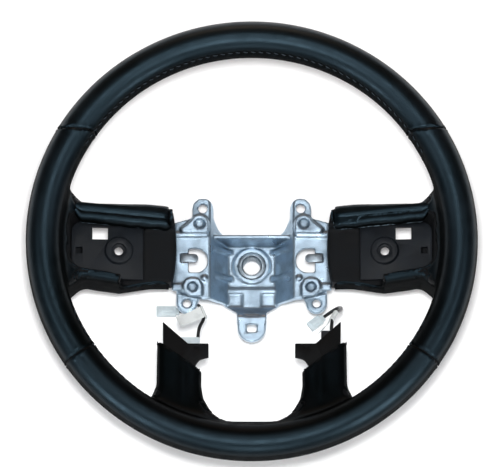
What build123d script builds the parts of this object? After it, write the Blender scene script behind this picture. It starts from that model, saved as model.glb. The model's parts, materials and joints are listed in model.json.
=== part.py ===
from build123d import *
import os
from math import atan2, cos, degrees, pi, radians, sin, sqrt, tan

# A leather-wrapped car steering wheel without its airbag, switches and trim covers.
# It lies face up: +Z is the column axis towards the driver, +Y is twelve o'clock, and
# the origin is on the axis of the hub bore, on the back face of the hub.
# Every size is in millimetres. What stands on the right is mirrored for the left.

# Rim and its covering
RIM_DIAMETER = 390.0
GRIP_WIDTH = 31.0           # along the wheel's radius
GRIP_DEPTH = 35.0           # along the column axis
DISH = 95.0                 # rim mid plane above the hub's nut seat
LEATHER_WALL = 1.2
UPPER_SEAM_ANGLE = 32.0     # seam across the grip, from three o'clock
UPPER_SEAM_LEAN = 25.0      # the upper seam turns this much off the radius
LOWER_SEAM_ANGLE = -35.0
SEAM_GAP = 0.3
RING_WIDTH = 13.0           # cast ring inside the grip
RING_DEPTH = 15.0
RING_GROOVE = 5.0
RING_WALL = 5.0

# Hub
HUB_LENGTH = 18.0           # back face to nut seat
HUB_RADIUS = 23.0
SEAT_RADIUS = 15.9
SEAT_RISE = 1.5
INSERT_RADIUS = 11.8
BORE_RADIUS = 7.6
BRACE_WALL = 4.0
BRACE_OFFSET = 12.0

# Cast plates beside the hub well
WELL_HALF_WIDTH = 21.0      # flat floor of the hub well
WELL_TOP = 17.5             # floor to the upper wall
PLATE_HALF_GAP = 36.5       # the well's slopes reach the side plates here
PLATE_RISE = 24.0           # side plates above the well floor
PLATE_WALL = 5.0
CAST_FILLET = 2.5
EAR_RADIUS = 9.2
UPPER_EAR = (43.0, 46.6)
UPPER_EAR_HOLE = 4.1
LOWER_EAR = (56.9, -38.0)
LOWER_EAR_HOLE = 3.7
LOWER_EAR_DROP = 5.0
PAD_CENTRE = (45.8, 31.9)
PAD_RADIUS = 8.0
PAD_RISE = 4.0
PAD_HOLE = 4.5
PAD_HOLE_DEPTH = 3.0
BOSS_CENTRE = (51.9, -25.4)
BOSS_RADIUS = 8.3
BOSS_RISE = 4.5
BOSS_HOLE = 4.4
BOSS_HOLE_DEPTH = 4.0
PIN_CENTRE = (41.5, -16.9)
PIN_RADIUS = 2.2
LATCH_OUTER = 55.5          # straight side of the D-shaped latch window
LATCH_INNER = 38.9
LATCH_TOP = 10.5
LATCH_BOTTOM = -11.3
LATCH_CORNER = 1.5          # corner radius on the straight side
LATCH_ROUND = 10.0          # corner radius on the round side
CLIP_WIDTH = 8.0
CLIP_WALL = 2.0
CLIP_ROOT = 7.0
CLIP_REACH = 8.5
CLIP_DROP = 0.8
TONGUE_HALF_WIDTH = 12.3
TONGUE_EYE = -59.9          # square hole's centre
TONGUE_RISE = 17.0          # tongue pad above the well floor
HORN_HEIGHT = 2.5
EYE_WIDTH = 8.6
EYE_HEIGHT = 7.3

# Side spokes
SPOKE_TOP = 37.5
SPOKE_BOTTOM = -30.0
SPOKE_HUB_TOP = 42.0
SPOKE_HUB_BOTTOM = -26.0
SPOKE_BELLY = 2.5           # lower edge bulges this much at the screw boss
SPOKE_END = 66.0
SPOKE_END_BOW = 140.0       # radius of the spoke's end in plan
SPOKE_FLARE = 15.0
SPOKE_FRONT_DROP = 13.0     # front lip below the rim mid plane, beside the rim
SPOKE_FRONT_RISE = 28.0     # front lip above the side plates, at the hub end
SPOKE_BACK_DROP = 13.0      # back below the side plates, at the hub end
SPOKE_CLIMB = 20.0          # the spoke's back and its arm climb this much towards the rim
LIP_RADIUS = 7.0
LEATHER_TRIM = 3.0          # leather stops this far from the spoke's end
ARM_TOP = 34.0
ARM_BOTTOM = -22.5

# Switch pockets
POCKET_TOP = 27.5
POCKET_BOTTOM = -24.0
POCKET_RIM_GAP = 6.5        # pocket end to the inside of the grip
LIP_LENGTH = 43.5           # lower lip, from the pocket's end
CARRIER_RISE = 25.0         # carrier face above the side plates, at its screw boss
CARRIER_SLOPE = 5.0
CARRIER_WALL = 4.0
CARRIER_LENGTH = 63.0       # from the pocket's end towards the hub
CARRIER_CLEARANCE = 0.3
CARRIER_STEP = 3.0          # foam beside the carrier lies this much lower
SCREW_BOSS_FROM_END = 41.5
SCREW_BOSS_Y = 1.6
SCREW_BOSS_RADIUS = 12.5
SCREW_BOSS_RISE = 3.0
SCREW_BOSS_BORE = 6.0
SCREW_BOSS_HOLE = 3.8
SQUARE_HOLE_FROM_END = 25.0
SQUARE_HOLE_Y = 17.1
SQUARE_HOLE_WIDTH = 13.6
SQUARE_HOLE_HEIGHT = 10.9
SMALL_SQUARE_FROM_END = 7.0
SMALL_SQUARE_Y = 1.6
SMALL_SQUARE_SIZE = 5.8
WINDOW_MARGIN = 10.0        # carrier's rest on the foam round the open back
WINDOW_NOTCH = 28.3         # the window is this high behind the square hole
ARM_COVER = 2.0             # foam over the cast arm beside that window

# Lower spokes
LOWER_OUTER = 81.0
LOWER_INNER = 43.5
LOWER_TIP = -85.0
LOWER_HEEL = -113.0
LOWER_WEB = 4.7             # web stands this far inside the grip
LOWER_FLARE = 20.0
LOWER_END_DROP = 18.0       # front of the spoke's end below the rim mid plane
LOWER_THICKNESS = 23.0
LOWER_CLIMB = 10.0          # degrees that the lower spoke climbs towards the rim
INLAY_TIP = (77.1, -66.3)   # plastic plate that sticks out of the spoke
INLAY_CORNER = (55.1, -86.6)
INLAY_EDGE = 37.3
INLAY_HEEL = -99.5
INLAY_ROOT = -125.0
INLAY_DROP = 30.0           # plate's tip below the rim mid plane
INLAY_WALL = 3.2
INLAY_SLOT = (47.5, -89.8)
INLAY_SLOT_WIDTH = 5.0
INLAY_SLOT_HEIGHT = 3.4
INLAY_SLOT_DEPTH = 1.4

# Heater leads: each route runs from its socket to its connector
LEAD_DIAMETER = 3.0
LEFT_LEAD = [(-46.5, -80, 79.8), (-46.5, -71.5, 79.8), (-40.5, -61.5, 77.8), (-44.5, -51.5, 73.5),
             (-47, -45.5, 60.5), (-44.6, -45, 45.5), (-44.5, -45.5, 30), (-47.5, -44, 17), (-50.5, -40.5, 8),
             (-56.5, -38, 3.6), (-64, -38, 3.6)]
RIGHT_LEAD = [(69, -74, 78.8), (69, -63.5, 78.8), (73, -55.5, 72.5), (76.5, -50.5, 58), (78.2, -46, 42),
              (78.5, -41.5, 28), (78.8, -38, 17.5), (76.5, -35.8, 9), (70.3, -38.1, 3.6), (63.5, -43.2, 3.6)]
LEFT_SOCKET = (-62.0, -45.0)    # between these places across the wheel
RIGHT_SOCKET = (60.0, 73.0)
SOCKET_HEIGHT = 8.0
SOCKET_LENGTH = 12.0
CONNECTOR_WIDTH = 8.6
CONNECTOR_HEIGHT = 7.2
CONNECTOR_COLLAR = 3.0
CONNECTOR_LATCH = 1.2
PIN_SLOT = 2.4
LEFT_CONNECTOR_LENGTH = 17.0
RIGHT_CONNECTOR_LENGTH = 12.5
FLAG_WALL = 0.6
FLAG_WIDTH = 12.0
FLAG_LENGTH = 23.0
FLAG_SLEEVE_RADIUS = 2.6
LEFT_FLAG_WAY = (-0.93, -0.36)    # plan direction in which the flag stands off its lead
RIGHT_FLAG_WAY = (-1, -0.89)
LEFT_FLAG_RUN = 2               # the flag is folded round this run of the route
RIGHT_FLAG_RUN = 1

# Worked out from the above
RIM_RADIUS = RIM_DIAMETER / 2
RIM_MID = RIM_RADIUS - GRIP_WIDTH / 2
RIM_INSIDE = RIM_RADIUS - GRIP_WIDTH
RIM_Z = HUB_LENGTH + DISH
WELL_Z = HUB_LENGTH - SEAT_RISE
PLATE_Z = WELL_Z + PLATE_RISE
CARRIER_Z = PLATE_Z + CARRIER_RISE
WEB_Y = LOWER_WEB - RIM_INSIDE
POCKET_END = RIM_INSIDE - POCKET_RIM_GAP
POCKET_OPEN = POCKET_END - LIP_LENGTH
CARRIER_INNER = POCKET_END - CARRIER_LENGTH
SCREW_BOSS = (POCKET_END - SCREW_BOSS_FROM_END, SCREW_BOSS_Y)
SQUARE_HOLE = (POCKET_END - SQUARE_HOLE_FROM_END, SQUARE_HOLE_Y)
SMALL_SQUARE = (POCKET_END - SMALL_SQUARE_FROM_END, SMALL_SQUARE_Y)
REACH = 400.0               # longer than anything that is cut


def outline(*corners):
    """Closed face through corners given as x, y and corner radius."""
    points = [(x, y) for x, y, radius in corners]
    radii = [radius for x, y, radius in corners]
    return make_face(FilletPolyline(*points, radius=radii, close=True))


def both(solid):
    """A right-hand solid together with its mirror image."""
    return solid + left_of(solid)


def left_of(solid):
    return mirror(solid, about=Plane.YZ)


def upright(face, low=-REACH, high=REACH):
    """A plan face run along Z between two heights."""
    return extrude(Pos(0, 0, low) * face, high - low)


def along_y(face):
    """An X-Z profile run along Y."""
    return extrude(Plane.XZ * face, REACH, both=True)


def along_x(face, half_width=REACH):
    """A Y-Z profile run along X, both ways from the middle."""
    return extrude(Plane.YZ * face, half_width, both=True)


def between(share, start, end):
    return start + share * (end - start)


def on_rim(radius, angle):
    """Point at a radius and an angle in degrees from three o'clock."""
    return radius * cos(radians(angle)), radius * sin(radians(angle))


# Grip: foam and leather share these forms, pulled in by an inset


def grip_sector(inset, start, end):
    """A stretch of the rim between two angles from three o'clock."""
    section = Rot(0, 0, 90) * SlotOverall(GRIP_DEPTH - 2 * inset, GRIP_WIDTH - 2 * inset)
    placed = Rot(0, 0, start) * (Plane.XZ * Pos(RIM_MID, RIM_Z) * section)
    return revolve(placed, Axis.Z, end - start)


def rounded(plane, low, high, back, front, inset):
    """A rounded section of a spoke, low to high across it and back to front along Z."""
    width = high - low - 2 * inset
    depth = front - back - 2 * inset
    middle = Pos((low + high) / 2, (back + front) / 2)
    return plane * middle * RectangleRounded(width, depth, LIP_RADIUS - inset)


def side_spoke(inset):
    """Right-hand spoke, a loft that flares into the rim and drops towards the hub."""
    front_rim = RIM_Z - SPOKE_FRONT_DROP
    front_hub = PLATE_Z + SPOKE_FRONT_RISE
    back_hub = PLATE_Z - SPOKE_BACK_DROP
    back_rim = back_hub + SPOKE_CLIMB
    knee = RIM_INSIDE - 16
    stations = [
        (SPOKE_END, SPOKE_HUB_BOTTOM, SPOKE_HUB_TOP - 3.5, 0, 0),
        (SPOKE_END + 9, SPOKE_HUB_BOTTOM, SPOKE_HUB_TOP, 0, 0),
        (SPOKE_END + 24, SPOKE_HUB_BOTTOM - 1, SPOKE_HUB_TOP, 0, 0),
        (SCREW_BOSS[0], SPOKE_BOTTOM - SPOKE_BELLY, between(0.5, SPOKE_HUB_TOP, SPOKE_TOP), 0, 0),
        (knee, SPOKE_BOTTOM, SPOKE_TOP, 0, 0),
        (knee + 8, SPOKE_BOTTOM, SPOKE_TOP, 0.55, 4),
        (knee + 15, SPOKE_BOTTOM, SPOKE_TOP, 1.2, 11),
        (RIM_MID - 5, SPOKE_BOTTOM, SPOKE_TOP, 2.0, 35),
        (RIM_MID + 2, SPOKE_BOTTOM, SPOKE_TOP, 1.4, 50),
    ]
    sections = []
    for x, low, high, flare, lift in stations:
        plane = Plane(origin=(x, 0, 0), x_dir=(0, 1, 0), z_dir=(1, 0, 0))
        share = min(1, (x - SPOKE_END) / (knee - SPOKE_END))
        back = between(share, back_hub, back_rim) + lift
        front = min(between(share, front_hub, front_rim) + lift, RIM_Z + 6)
        spread = flare * SPOKE_FLARE
        limit = sqrt((RIM_MID + 6)**2 - x**2)
        low = max(low - spread, -limit)
        high = min(high + spread, limit)
        sections.append(rounded(plane, low, high, back, front, inset))
    return loft(sections, ruled=True) - past_end(0)


def past_end(trim):
    """Everything hubward of the right-hand spoke's bowed end, moved by a trim."""
    middle = between(0.5, SPOKE_HUB_BOTTOM, SPOKE_HUB_TOP)
    block = Pos(SPOKE_END, middle) * Rectangle(60, 4 * SPOKE_HUB_TOP)
    return upright(block - Pos(SPOKE_END + trim + SPOKE_END_BOW, middle) * Circle(SPOKE_END_BOW))


def lower_spoke(inset):
    """Right-hand lower spoke, a loft from its slanted end down into the rim."""
    front = RIM_Z - LOWER_END_DROP
    start = LOWER_TIP + 8
    stations = [
        (start, 0.03, 0.03, front - LOWER_THICKNESS, front),
        (WEB_Y + 33, 0, 0.05, RIM_Z - 30, RIM_Z - 9),
        (WEB_Y + 21, 0.1, 0.3, RIM_Z - 26, RIM_Z - 6),
        (WEB_Y + 10, 0.4, 0.9, RIM_Z - 21, RIM_Z - 3),
        (WEB_Y, 1.0, 1.5, RIM_Z - 15, RIM_Z + 1),
        (WEB_Y - 9, 0.9, 1.2, RIM_Z - 11, RIM_Z + 5),
    ]
    sections = []
    for y, inner, outer, back, face in stations:
        plane = Plane(origin=(0, y, 0), x_dir=(1, 0, 0), z_dir=(0, -1, 0))
        low = LOWER_INNER - inner * LOWER_FLARE
        high = min(LOWER_OUTER + outer * LOWER_FLARE, sqrt(RIM_MID**2 - y**2))
        sections.append(rounded(plane, low, high, back, face, inset))
    spoke = loft(sections, ruled=True)
    slant = outline(
        (LOWER_OUTER + 20, LOWER_TIP + 15, 0),
        (LOWER_INNER - 20, LOWER_HEEL - 15, 0),
        (LOWER_INNER - 20, start + 20, 0),
    )
    return spoke - upright(slant)


def lower_web(inset):
    """Web that fills the grip's inside between the two lower spokes."""
    profile = outline(
        (WEB_Y - inset, RIM_Z - 2 - inset, 5 - inset),
        (-RIM_MID, RIM_Z + 6 - inset, 0),
        (-RIM_MID, RIM_Z - 10 + inset, 0),
        (WEB_Y - inset, RIM_Z - 18 + inset, 5 - inset),
    )
    return along_x(profile, LOWER_INNER)


def pocket_plan(inset):
    """Plan of the right-hand switch pocket, open downwards beside its lower lip."""
    return outline(
        (CARRIER_INNER + inset, POCKET_TOP - inset, 0),
        (POCKET_END - inset, POCKET_TOP - inset, 9),
        (POCKET_END - inset, POCKET_BOTTOM + 4 + inset, 12),
        (POCKET_OPEN, POCKET_BOTTOM + inset, 0),
        (CARRIER_INNER + inset, POCKET_BOTTOM + inset, 0),
    )


def carrier_height(x):
    return CARRIER_Z + (x - SCREW_BOSS[0]) * tan(radians(CARRIER_SLOPE))


def above_carrier(drop):
    """Everything above the carrier's face, lowered by a drop."""
    start, end = SPOKE_END - 20, RIM_MID
    return along_y(Polygon(
        (start, carrier_height(start) - drop), (end, carrier_height(end) - drop),
        (end, REACH), (start, REACH), align=None))


def open_window(margin):
    """Plan of the opening behind the carrier."""
    return outline(
        (CARRIER_INNER + WINDOW_MARGIN - margin, POCKET_BOTTOM + WINDOW_MARGIN - margin, 4),
        (POCKET_END - WINDOW_MARGIN + margin, POCKET_BOTTOM + WINDOW_MARGIN - margin, 4),
        (POCKET_END - WINDOW_MARGIN + margin, WINDOW_NOTCH + margin, 4),
        (SQUARE_HOLE[0] - SQUARE_HOLE_WIDTH - margin, WINDOW_NOTCH + margin, 4),
        (SQUARE_HOLE[0] - SQUARE_HOLE_WIDTH - margin, POCKET_TOP - WINDOW_MARGIN / 2 + margin, 1),
        (CARRIER_INNER + WINDOW_MARGIN - margin, POCKET_TOP - WINDOW_MARGIN / 2 + margin, 4),
    )


def spoke_cuts():
    """What is taken out of the right-hand spoke's foam and leather."""
    bed = upright(pocket_plan(0)) & above_carrier(CARRIER_WALL)
    inner = outline(
        (SPOKE_END - 20, POCKET_TOP - 4, 0),
        (CARRIER_INNER, POCKET_TOP - 4, 0),
        (CARRIER_INNER, POCKET_BOTTOM, 0),
        (POCKET_OPEN, POCKET_BOTTOM, 0),
        (POCKET_OPEN, SPOKE_BOTTOM - 30, 0),
        (SPOKE_END - 20, SPOKE_BOTTOM - 30, 0),
    )
    back = upright(open_window(0), 0, CARRIER_Z)
    return bed + (upright(inner) & above_carrier(CARRIER_STEP)) + back


# Cast frame


def bent_section():
    """Section across the hub well and the side plates, one wall thickness all along."""
    lean = degrees(atan2(PLATE_RISE, PLATE_HALF_GAP - WELL_HALF_WIDTH))
    mitre = PLATE_WALL * tan(radians(lean / 2))
    reach = SPOKE_END + 10
    right = [
        (WELL_HALF_WIDTH, WELL_Z, CAST_FILLET),
        (PLATE_HALF_GAP, PLATE_Z, CAST_FILLET),
        (reach, PLATE_Z, 0),
        (reach, PLATE_Z - PLATE_WALL, 0),
        (PLATE_HALF_GAP + mitre, PLATE_Z - PLATE_WALL, CAST_FILLET),
        (WELL_HALF_WIDTH + mitre, WELL_Z - PLATE_WALL, CAST_FILLET),
    ]
    left = [(-x, z, radius) for x, z, radius in reversed(right)]
    return outline(*right, *left)


def wing_plan():
    """Right half of the casting's outline round the side plate and its upper ear."""
    ear_x, ear_y = UPPER_EAR
    wing = outline(
        (0, -34, 0),
        (0, 21, 0),
        (15, 21.5, 8),
        (29, 29, 8),
        (ear_x - EAR_RADIUS, ear_y - 8, 4),
        (ear_x - EAR_RADIUS, ear_y, 0),
        (ear_x + EAR_RADIUS, ear_y, 0),
        (ear_x + EAR_RADIUS, PAD_CENTRE[1] + 6, 3),
        (SPOKE_END + 10, ARM_TOP - 3, 0),
        (SPOKE_END + 10, ARM_BOTTOM, 0),
        (LOWER_EAR[0] + EAR_RADIUS, ARM_BOTTOM, 3),
        (LOWER_EAR[0] + EAR_RADIUS, ARM_BOTTOM - 6, 0),
        (LOWER_EAR[0] - EAR_RADIUS, -33, 3),
        (44, -35.5, 3),
        (26, -35, 6),
    )
    return wing + Pos(ear_x, ear_y) * Circle(EAR_RADIUS)


def lower_ear():
    """Right-hand lower ear, dropped a step behind the side plate."""
    x, y = LOWER_EAR
    top = PLATE_Z - LOWER_EAR_DROP
    plan = outline(
        (x - EAR_RADIUS, y, 0),
        (x + EAR_RADIUS, y, 0),
        (x + EAR_RADIUS, ARM_BOTTOM, 0),
        (x - EAR_RADIUS - 4, ARM_BOTTOM, 0),
        (x - EAR_RADIUS - 4, y + 8, 5),
    ) + Pos(x, y) * Circle(EAR_RADIUS)
    return upright(plan, top - PLATE_WALL, top)


def upper_wall():
    """Wall that closes the hub well at its top, leaning back as the slopes do."""
    profile = outline(
        (WELL_TOP, WELL_Z, 0),
        (WELL_TOP + 3, WELL_Z + PLATE_RISE - 4, 1.5),
        (WELL_TOP + 6.5, WELL_Z + PLATE_RISE - 4, 1.5),
        (WELL_TOP + 4, WELL_Z - PLATE_WALL, 0),
        (WELL_TOP - 3, WELL_Z - PLATE_WALL, 0),
    )
    inside = outline(
        (WELL_HALF_WIDTH + 2, 0, 0),
        (PLATE_HALF_GAP, PLATE_Z - 2, 0),
        (-PLATE_HALF_GAP, PLATE_Z - 2, 0),
        (-WELL_HALF_WIDTH - 2, 0, 0),
    )
    return along_x(profile) & along_y(inside)


def tongue():
    """Lower tongue: it leaves the well floor, ramps up and ends in a round pad with a square eye."""
    top = WELL_Z + TONGUE_RISE
    toe = TONGUE_EYE - TONGUE_HALF_WIDTH - 5
    profile = outline(
        (-WELL_TOP, WELL_Z, 0),
        (-38, WELL_Z, 5),
        (-48, top, 5),
        (toe, top, 0),
        (toe, top - PLATE_WALL, 0),
        (-46, top - PLATE_WALL, 5),
        (-36, WELL_Z - PLATE_WALL, 5),
        (-WELL_TOP, WELL_Z - PLATE_WALL, 0),
    )
    half = TONGUE_HALF_WIDTH
    plan = outline(
        (-26, -WELL_TOP, 0),
        (26, -WELL_TOP, 0),
        (26, -34, 8),
        (half + 1, -45, 3),
        (half, TONGUE_EYE, 0),
        (-half, TONGUE_EYE, 0),
        (-half - 1, -45, 3),
        (-26, -34, 8),
    ) + Pos(0, TONGUE_EYE) * Circle(half)
    land = outline(
        (-WELL_HALF_WIDTH, -20.5, 0),
        (WELL_HALF_WIDTH, -20.5, 0),
        (WELL_HALF_WIDTH, -24.5, 1),
        (8.2, -24.5, 2),
        (8.2, -37, 1),
        (-8.2, -37, 1),
        (-8.2, -24.5, 2),
        (-WELL_HALF_WIDTH, -24.5, 1),
    )
    eye = Pos(0, TONGUE_EYE) * Rectangle(EYE_WIDTH, EYE_HEIGHT)
    body = along_x(profile) & upright(plan)
    hollow = Pos(0, TONGUE_EYE + TONGUE_HALF_WIDTH + 2.5) * RectangleRounded(1.3 * half, 9, 2.5)
    body -= upright(hollow, top - HORN_HEIGHT, top + PLATE_WALL)
    return body + upright(land, WELL_Z - 1, WELL_Z + 1.2) - upright(eye)


def plate_relief():
    """Raised pad, ridge, boss, rib and pin on the right-hand side plate."""
    pad_x, pad_y = PAD_CENTRE
    boss_x, boss_y = BOSS_CENTRE
    pad = Pos(pad_x, pad_y) * Circle(PAD_RADIUS) + outline(
        (pad_x - PAD_RADIUS, pad_y, 0),
        (pad_x + 2, pad_y + PAD_RADIUS - 0.3, 0),
        (SPOKE_END - 3, pad_y - 5, 1.5),
        (SPOKE_END - 5, pad_y - PAD_RADIUS, 1.5),
        (pad_x - PAD_RADIUS, pad_y - PAD_RADIUS, 2),
    )
    ridge = outline(
        (PLATE_HALF_GAP + 2, pad_y - 11.5, 1),
        (SPOKE_END + 2, pad_y - 11.5, 1),
        (SPOKE_END + 2, pad_y - 7.5, 1),
        (PLATE_HALF_GAP + 2, pad_y - 7.5, 1),
    )
    boss = Pos(boss_x, boss_y) * Circle(BOSS_RADIUS) + outline(
        (boss_x - BOSS_RADIUS, boss_y, 0),
        (boss_x, boss_y, 0),
        (boss_x, boss_y - BOSS_RADIUS, 0),
        (boss_x - BOSS_RADIUS, boss_y - BOSS_RADIUS, 2),
    )
    rib = outline(
        (boss_x, boss_y - 3, 0),
        (SPOKE_END + 4, boss_y - 3, 0),
        (SPOKE_END + 4, boss_y + 3, 0),
        (boss_x, boss_y + 3, 0),
    )
    seat = PLATE_Z - 1
    relief = upright(pad, seat, PLATE_Z + PAD_RISE)
    relief += upright(ridge, seat, PLATE_Z + 2)
    relief += upright(boss, seat, PLATE_Z + BOSS_RISE)
    relief += upright(rib, seat, PLATE_Z + BOSS_RISE - 1.5)
    return relief + upright(Pos(*PIN_CENTRE) * Circle(PIN_RADIUS), seat, PLATE_Z + 1.5)


def clip_seat():
    """Shallow seat for the latch clip's root, beside the latch window."""
    y = (LATCH_TOP + LATCH_BOTTOM) / 2 + 2
    return outline(
        (LATCH_OUTER - 1, y - CLIP_WIDTH / 2, 0),
        (LATCH_OUTER + CLIP_ROOT, y - CLIP_WIDTH / 2, 0),
        (LATCH_OUTER + CLIP_ROOT, y + CLIP_WIDTH / 2, 0),
        (LATCH_OUTER - 1, y + CLIP_WIDTH / 2, 0),
    )


def clip_room():
    """Room for the latch clip's root in all that lies over its seat."""
    return upright(clip_seat(), PLATE_Z - CLIP_WALL, PLATE_Z + 10)


def plate_cuts():
    """Latch window and holes in the right-hand side plate."""
    width = LATCH_OUTER - LATCH_INNER
    height = LATCH_TOP - LATCH_BOTTOM
    round_side = min(LATCH_ROUND, width - LATCH_CORNER - 0.1, height / 2 - 0.1)
    window = outline(
        (LATCH_OUTER, LATCH_BOTTOM, LATCH_CORNER),
        (LATCH_OUTER, LATCH_TOP, LATCH_CORNER),
        (LATCH_INNER, LATCH_TOP, round_side),
        (LATCH_INNER, LATCH_BOTTOM, round_side),
    )
    cuts = upright(window)
    cuts += upright(Pos(*UPPER_EAR) * Circle(UPPER_EAR_HOLE))
    cuts += upright(Pos(*LOWER_EAR) * Circle(LOWER_EAR_HOLE))
    pad_top = PLATE_Z + PAD_RISE
    cuts += upright(Pos(*PAD_CENTRE) * Circle(PAD_HOLE), pad_top - PAD_HOLE_DEPTH, pad_top + 1)
    boss_top = PLATE_Z + BOSS_RISE
    return cuts + upright(Pos(*BOSS_CENTRE) * Circle(BOSS_HOLE), boss_top - BOSS_HOLE_DEPTH, boss_top + 1)


def arm():
    """Right-hand arm: it runs under the switch pocket in two rails and climbs into the ring."""
    rise = POCKET_END + 1
    under = PLATE_Z - PLATE_WALL
    profile = outline(
        (PLATE_HALF_GAP + 16, under, 0),
        (SPOKE_END, under, 20),
        (rise, under + SPOKE_CLIMB, 12),
        (RIM_MID + 2, RIM_Z - 6, 0),
        (RIM_MID + 2, RIM_Z + 4, 0),
        (RIM_MID - 5, RIM_Z + 4, 0),
        (rise, under + SPOKE_CLIMB + 8, 12),
        (SPOKE_END, PLATE_Z, 20),
        (PLATE_HALF_GAP + 16, PLATE_Z, 0),
    )
    plan = outline(
        (SPOKE_END, ARM_BOTTOM, 0),
        (rise - 6, ARM_BOTTOM, 10),
        (RIM_MID + 2, ARM_BOTTOM + 8, 0),
        (RIM_MID + 2, ARM_TOP - 8, 0),
        (rise - 6, ARM_TOP, 10),
        (SPOKE_END, ARM_TOP - 3, 0),
    )
    return (along_y(profile) & upright(plan)) - upright(open_window(ARM_COVER))


def ring():
    """Cast ring inside the grip, a channel open to the back."""
    half = RING_WIDTH / 2
    slot = RING_GROOVE / 2
    low, high = -RING_DEPTH / 2, RING_DEPTH / 2
    section = outline(
        (-half, low, 0),
        (-slot, low, 0),
        (-slot, high - RING_WALL, 0),
        (slot, high - RING_WALL, 0),
        (slot, low, 0),
        (half, low, 0),
        (half, high, 2),
        (-half, high, 2),
    )
    placed = Rot(0, 0, 90) * (Plane.XZ * Pos(RIM_MID, RIM_Z) * section)
    return revolve(placed, Axis.Z)


def hub():
    """Hub boss with its nut seat and the ribs that brace it against the slopes."""
    boss = upright(Circle(HUB_RADIUS), 0, WELL_Z - PLATE_WALL + 1)
    seat = upright(Circle(SEAT_RADIUS), WELL_Z - 1, HUB_LENGTH)
    brace = outline(
        (HUB_RADIUS - 8, 3, 0),
        (HUB_RADIUS + 2, 3, 3),
        (PLATE_HALF_GAP + 8, PLATE_Z - PLATE_WALL + 1, 0),
        (PLATE_HALF_GAP - 4, PLATE_Z - PLATE_WALL, 0),
        (HUB_RADIUS - 8, WELL_Z - 2, 0),
    )
    strip = Rectangle(2 * PLATE_HALF_GAP, BRACE_WALL)
    plan = Pos(PLATE_HALF_GAP, BRACE_OFFSET) * strip + Pos(PLATE_HALF_GAP, -BRACE_OFFSET) * strip
    return boss + seat + both(along_y(brace) & upright(plan))


def armature():
    half = upright(wing_plan()) & along_y(bent_section())
    half = half + lower_ear() + plate_relief() - plate_cuts() + arm() - clip_room()
    frame = half + left_of(half) + tongue() + upper_wall() + hub() + ring()
    return frame - upright(Circle(INSERT_RADIUS), -1, HUB_LENGTH + 1)


def hub_insert():
    bush = upright(Circle(INSERT_RADIUS), 0, HUB_LENGTH)
    return bush - upright(Circle(BORE_RADIUS), -1, HUB_LENGTH + 1)


# Foam, leather and the plates in them


def right_grip(inset, start, end):
    return grip_sector(inset, start, end).fuse(side_spoke(inset))


def lower_grip(inset, start, end):
    spoke = lower_spoke(inset)
    return grip_sector(inset, start, end).fuse(spoke).fuse(left_of(spoke)).fuse(lower_web(inset))


def rim_foam(frame):
    """One moulding round the cast ring and arms."""
    upper, lower = UPPER_SEAM_ANGLE, LOWER_SEAM_ANGLE
    right = right_grip(LEATHER_WALL, lower, upper)
    top = grip_sector(LEATHER_WALL, upper, 180 - upper)
    bottom = lower_grip(LEATHER_WALL, -180 - lower, lower)
    body = top.fuse(right, left_of(right), bottom)
    inlay = lower_plate()
    return body - both(spoke_cuts()) - both(clip_room()) - frame - inlay - left_of(inlay)


def past_seam(side):
    """Right-hand region above the leaning upper seam (side 1) or below it (side -1)."""
    size = 4 * GRIP_WIDTH
    block = Pos(0, side * (size - SEAM_GAP) / 2) * Rectangle(size, size)
    place = Pos(*on_rim(RIM_MID, UPPER_SEAM_ANGLE)) * Rot(0, 0, UPPER_SEAM_ANGLE - UPPER_SEAM_LEAN)
    return upright(place * block)


def leather_top():
    start = UPPER_SEAM_ANGLE - 15
    wall = grip_sector(0, start, 180 - start) - grip_sector(LEATHER_WALL, start - 2, 182 - start)
    below = past_seam(-1)
    return wall - below - left_of(below)


def leather_right():
    """Side panel round the grip and the spoke, open at the pocket, the spoke's end and its back."""
    half_gap = degrees(SEAM_GAP / 2 / RIM_MID)
    start, end = LOWER_SEAM_ANGLE + half_gap, UPPER_SEAM_ANGLE + 15
    wall = right_grip(0, start, end) - right_grip(LEATHER_WALL, start - 2, end + 2)
    return wall - past_seam(1) - spoke_cuts() - past_end(LEATHER_TRIM)


def leather_bottom():
    half_gap = degrees(SEAM_GAP / 2 / RIM_MID)
    end = LOWER_SEAM_ANGLE - half_gap
    return lower_grip(0, -180 - end, end) - lower_grip(LEATHER_WALL, -182 - end, end + 2)


def carrier_plane(place):
    """Plane on the carrier's sloping face, over a place in plan."""
    slope = radians(CARRIER_SLOPE)
    origin = (*place, carrier_height(place[0]))
    return Plane(origin=origin, x_dir=(cos(slope), 0, sin(slope)), z_dir=(-sin(slope), 0, cos(slope)))


def switch_carrier():
    """Floor of the right-hand switch pocket, with a screw boss and two square holes."""
    plate = upright(pocket_plan(CARRIER_CLEARANCE)) & (above_carrier(CARRIER_WALL) - above_carrier(0))
    seat = carrier_plane(SCREW_BOSS)
    plate += extrude(seat * Circle(SCREW_BOSS_RADIUS), SCREW_BOSS_RISE, taper=20)
    plate -= extrude(seat * Circle(SCREW_BOSS_BORE), SCREW_BOSS_RISE + 1)
    plate -= extrude(seat * Circle(SCREW_BOSS_HOLE), 3 * CARRIER_WALL, both=True)
    plate -= upright(Pos(*SQUARE_HOLE) * Rectangle(SQUARE_HOLE_WIDTH, SQUARE_HOLE_HEIGHT))
    return plate - upright(Pos(*SMALL_SQUARE) * Rectangle(SMALL_SQUARE_SIZE, SMALL_SQUARE_SIZE))


def inlay_height(y):
    return RIM_Z - INLAY_DROP + (INLAY_TIP[1] - y) * tan(radians(LOWER_CLIMB))


def inlay_band(low, high):
    """Layer that climbs with the lower plates, between two heights from their middle."""
    start, end = INLAY_TIP[1] + 20, INLAY_ROOT - 5
    return along_x(Polygon(
        (start, inlay_height(start) + low), (end, inlay_height(end) + low),
        (end, inlay_height(end) + high), (start, inlay_height(start) + high), align=None))


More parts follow.
